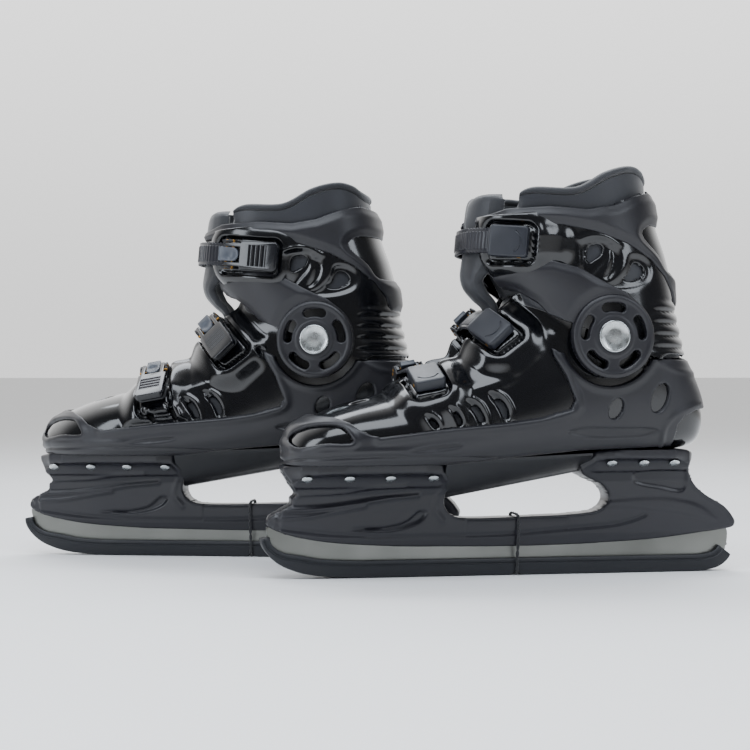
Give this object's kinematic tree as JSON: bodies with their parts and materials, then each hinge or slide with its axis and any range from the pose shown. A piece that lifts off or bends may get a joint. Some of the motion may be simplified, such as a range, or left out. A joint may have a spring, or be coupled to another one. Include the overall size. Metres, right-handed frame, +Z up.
{
  "type": "ice skates",
  "caption": "Hard-shell ice skates with ratchet buckles, soft liners, hinged cuffs and tied-on rubber blade guards.",
  "frame": {"origin": "centre of the sole face of the right skate's blade guard, on the ground", "axes": "+Z up, -X towards the toe of the right skate, +Y towards the left skate"},
  "size_m": [0.4928, 0.2866, 0.2765],
  "materials": {
    "blade_steel": "satin",
    "rivet_steel": "satin",
    "pivot_steel": "satin",
    "holder_plastic": "satin",
    "guard_rubber": "matte",
    "tie_elastic": "woven",
    "matte_trim": "fine grain",
    "shell_gloss": "gloss",
    "liner_fabric": "padded fabric",
    "footbed": "felt",
    "ladder_strap": "satin",
    "cap_plastic": "satin",
    "buckle_base": "satin",
    "lever_gloss": "gloss",
    "tab_plastic": "satin"
  },
  "bodies": {
    "right_guard": {"right_blade_guard": "guard_rubber"},
    "right_boot": {"right_blade": "blade_steel", "right_blade_holder": "holder_plastic", "right_guard_tie": "tie_elastic", "right_holder_rivets": "rivet_steel", "right_base_frame": "matte_trim", "right_foot_shell": "shell_gloss", "right_insole": "footbed", "right_liner_foot": "liner_fabric", "right_tongue": "liner_fabric", "right_pivot_rivets": "pivot_steel", "right_toe_strap": "ladder_strap", "right_toe_strap_cap": "cap_plastic", "right_toe_buckle_base": "buckle_base", "right_instep_strap": "ladder_strap", "right_instep_strap_cap": "cap_plastic", "right_instep_buckle_base": "buckle_base"},
    "right_cuff": {"right_liner_collar": "liner_fabric", "right_cuff_shell": "shell_gloss", "right_cuff_collar": "matte_trim", "right_ankle_arms": "matte_trim", "right_cuff_strap": "ladder_strap", "right_cuff_strap_cap": "cap_plastic", "right_cuff_buckle_base": "buckle_base"},
    "right_toe_lever": {"right_toe_lever": "lever_gloss"},
    "right_toe_release_tab": {"right_toe_release_tab": "tab_plastic"},
    "right_instep_lever": {"right_instep_lever": "lever_gloss"},
    "right_instep_release_tab": {"right_instep_release_tab": "tab_plastic"},
    "right_cuff_lever": {"right_cuff_lever": "lever_gloss"},
    "right_cuff_release_tab": {"right_cuff_release_tab": "tab_plastic"},
    "left_guard": {"left_blade_guard": "guard_rubber"},
    "left_boot": {"left_blade": "blade_steel", "left_blade_holder": "holder_plastic", "left_guard_tie": "tie_elastic", "left_holder_rivets": "rivet_steel", "left_base_frame": "matte_trim", "left_foot_shell": "shell_gloss", "left_insole": "footbed", "left_liner_foot": "liner_fabric", "left_tongue": "liner_fabric", "left_pivot_rivets": "pivot_steel", "left_toe_strap": "ladder_strap", "left_toe_strap_cap": "cap_plastic", "left_toe_buckle_base": "buckle_base", "left_instep_strap": "ladder_strap", "left_instep_strap_cap": "cap_plastic", "left_instep_buckle_base": "buckle_base"},
    "left_cuff": {"left_liner_collar": "liner_fabric", "left_cuff_shell": "shell_gloss", "left_cuff_collar": "matte_trim", "left_ankle_arms": "matte_trim", "left_cuff_strap": "ladder_strap", "left_cuff_strap_cap": "cap_plastic", "left_cuff_buckle_base": "buckle_base"},
    "left_toe_lever": {"left_toe_lever": "lever_gloss"},
    "left_toe_release_tab": {"left_toe_release_tab": "tab_plastic"},
    "left_instep_lever": {"left_instep_lever": "lever_gloss"},
    "left_instep_release_tab": {"left_instep_release_tab": "tab_plastic"},
    "left_cuff_lever": {"left_cuff_lever": "lever_gloss"},
    "left_cuff_release_tab": {"left_cuff_release_tab": "tab_plastic"}
  },
  "joints": [
    {"name": "right_guard_slide", "type": "slide", "parent": "right_guard", "child": "right_boot", "axis": [0, 0, 1], "range_m": [0, 0.03], "deforming": ["right_guard_tie"]},
    {"name": "right_cuff_hinge", "type": "hinge", "parent": "right_boot", "child": "right_cuff", "pos_m": [0.0626, 0, 0.1627], "axis": [0, -1, 0], "range_deg": [0, 10]},
    {"name": "right_toe_lever_hinge", "type": "hinge", "parent": "right_boot", "child": "right_toe_lever", "pos_m": [-0.06132, 0.02782, 0.14205], "axis": [0.9841, 0, 0.1778], "range_deg": [0, 80]},
    {"name": "right_toe_release_hinge", "type": "hinge", "parent": "right_boot", "child": "right_toe_release_tab", "pos_m": [-0.06085, 0.03206, 0.13945], "axis": [0.9841, 0, 0.1778], "range_deg": [0, 6], "stiffness_Nm_per_rad": 0.02},
    {"name": "right_instep_lever_hinge", "type": "hinge", "parent": "right_boot", "child": "right_instep_lever", "pos_m": [-0.02242, 0.0249, 0.17466], "axis": [0.7227, 0, 0.6911], "range_deg": [0, 80]},
    {"name": "right_instep_release_hinge", "type": "hinge", "parent": "right_boot", "child": "right_instep_release_tab", "pos_m": [-0.02, 0.02848, 0.17214], "axis": [0.7227, 0, 0.6911], "range_deg": [0, 6], "stiffness_Nm_per_rad": 0.02},
    {"name": "right_cuff_lever_hinge", "type": "hinge", "parent": "right_cuff", "child": "right_cuff_lever", "pos_m": [-0.00214, 0.05161, 0.22512], "axis": [0.0888, 0, 0.9961], "range_deg": [0, 80]},
    {"name": "right_cuff_release_hinge", "type": "hinge", "parent": "right_cuff", "child": "right_cuff_release_tab", "pos_m": [0.00269, 0.05283, 0.22468], "axis": [0.0888, 0, 0.9961], "range_deg": [0, 6], "stiffness_Nm_per_rad": 0.02},
    {"name": "left_guard_slide", "type": "slide", "parent": "left_guard", "child": "left_boot", "axis": [0, 0, 1], "range_m": [0, 0.03], "deforming": ["left_guard_tie"]},
    {"name": "left_cuff_hinge", "type": "hinge", "parent": "left_boot", "child": "left_cuff", "pos_m": [-0.10483, 0.13275, 0.1627], "axis": [-0.2756, -0.9613, 0], "range_deg": [0, 10]},
    {"name": "left_toe_lever_hinge", "type": "hinge", "parent": "left_boot", "child": "left_toe_lever", "pos_m": [-0.23161, 0.14016, 0.14205], "axis": [-0.9459, 0.2712, -0.1778], "range_deg": [0, 80]},
    {"name": "left_toe_release_hinge", "type": "hinge", "parent": "left_boot", "child": "left_toe_release_tab", "pos_m": [-0.23233, 0.13595, 0.13945], "axis": [-0.9459, 0.2712, -0.1778], "range_deg": [0, 6], "stiffness_Nm_per_rad": 0.02},
    {"name": "left_instep_lever_hinge", "type": "hinge", "parent": "left_boot", "child": "left_instep_lever", "pos_m": [-0.19341, 0.13224, 0.17466], "axis": [-0.6947, 0.1992, -0.6911], "range_deg": [0, 80]},
    {"name": "left_instep_release_hinge", "type": "hinge", "parent": "left_boot", "child": "left_instep_release_tab", "pos_m": [-0.19208, 0.12814, 0.17214], "axis": [-0.6947, 0.1992, -0.6911], "range_deg": [0, 6], "stiffness_Nm_per_rad": 0.02},
    {"name": "left_cuff_lever_hinge", "type": "hinge", "parent": "left_cuff", "child": "left_cuff_lever", "pos_m": [-0.18128, 0.10098, 0.22512], "axis": [-0.0853, 0.0245, -0.9961], "range_deg": [0, 80]},
    {"name": "left_cuff_release_hinge", "type": "hinge", "parent": "left_cuff", "child": "left_cuff_release_tab", "pos_m": [-0.17697, 0.09848, 0.22468], "axis": [-0.0853, 0.0245, -0.9961], "range_deg": [0, 6], "stiffness_Nm_per_rad": 0.02},
    {"name": "left_skate_slide", "type": "slide", "parent": "right_guard", "child": "left_guard", "axis": [0, 1, 0], "range_m": [0, 0.15]}
  ]
}
